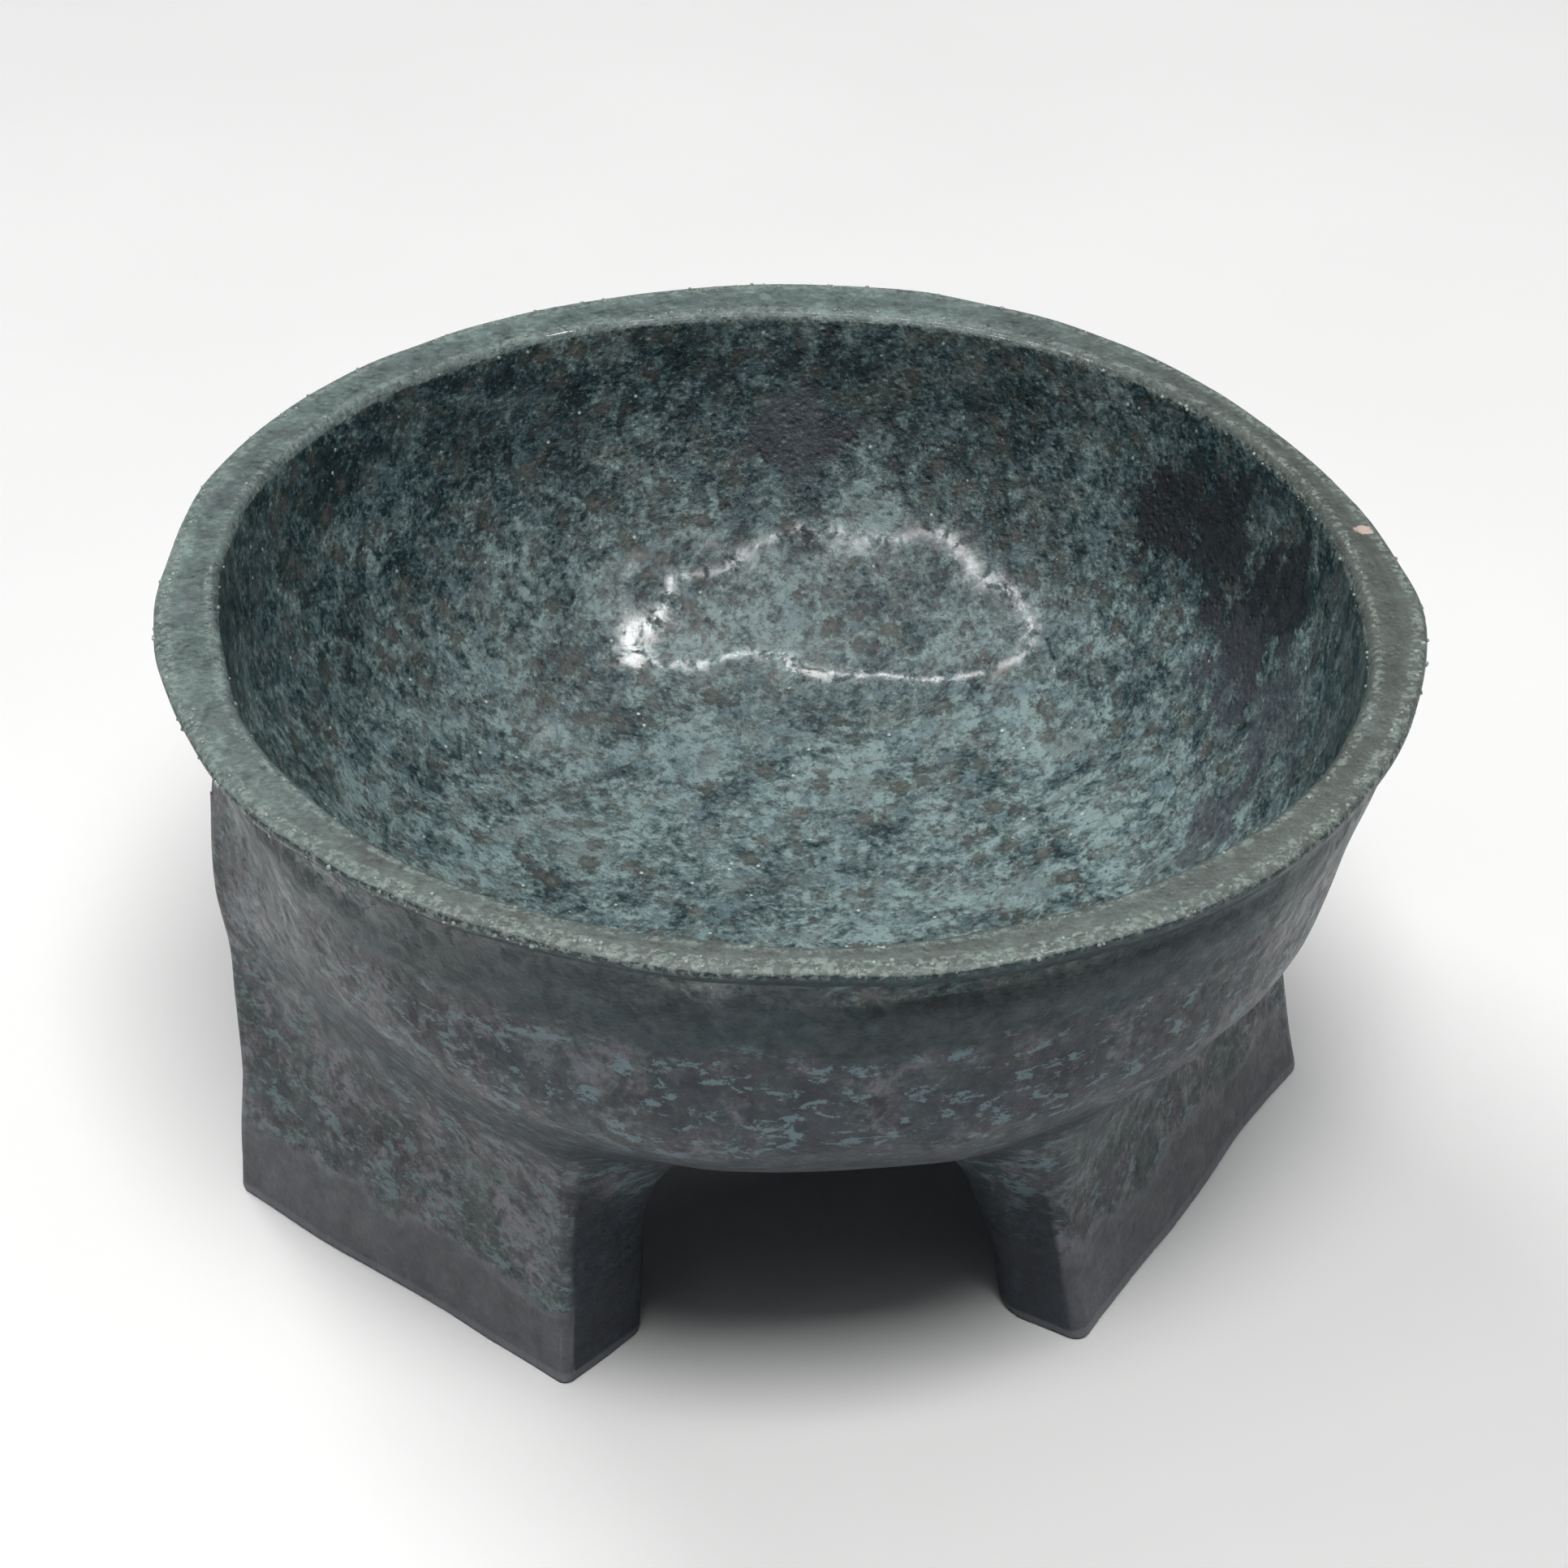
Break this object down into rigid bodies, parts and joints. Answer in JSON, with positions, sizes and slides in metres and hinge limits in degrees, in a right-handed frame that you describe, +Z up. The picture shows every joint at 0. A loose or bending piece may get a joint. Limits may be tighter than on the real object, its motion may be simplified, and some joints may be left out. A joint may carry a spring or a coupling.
{
  "type": "molcajete",
  "caption": "Small hand-built glazed ceramic molcajete: deep oval bowl with a flat lip, on three wide slab legs with low arches between them.",
  "frame": {"origin": "on the ground under the middle of the rim", "axes": "+Z up; the front, with two legs either side of an open arch, faces -Y; the third leg is at +Y"},
  "size_m": [0.1427, 0.1566, 0.076],
  "materials": {
    "bowl_glaze": "satin teal glaze breaking to dark purple-brown",
    "lip_glaze": "satin grey-green glaze",
    "leg_glaze": "satin purple-grey glaze",
    "coil_glaze": "satin dark blue-grey glaze"
  },
  "bodies": {
    "root": {"bowl": "bowl_glaze", "rim_lip": "lip_glaze", "left_leg": "leg_glaze", "right_leg": "leg_glaze", "back_leg": "leg_glaze", "left_leg_coil": "coil_glaze", "right_leg_coil": "coil_glaze", "back_leg_coil": "coil_glaze"}
  },
  "joints": []
}
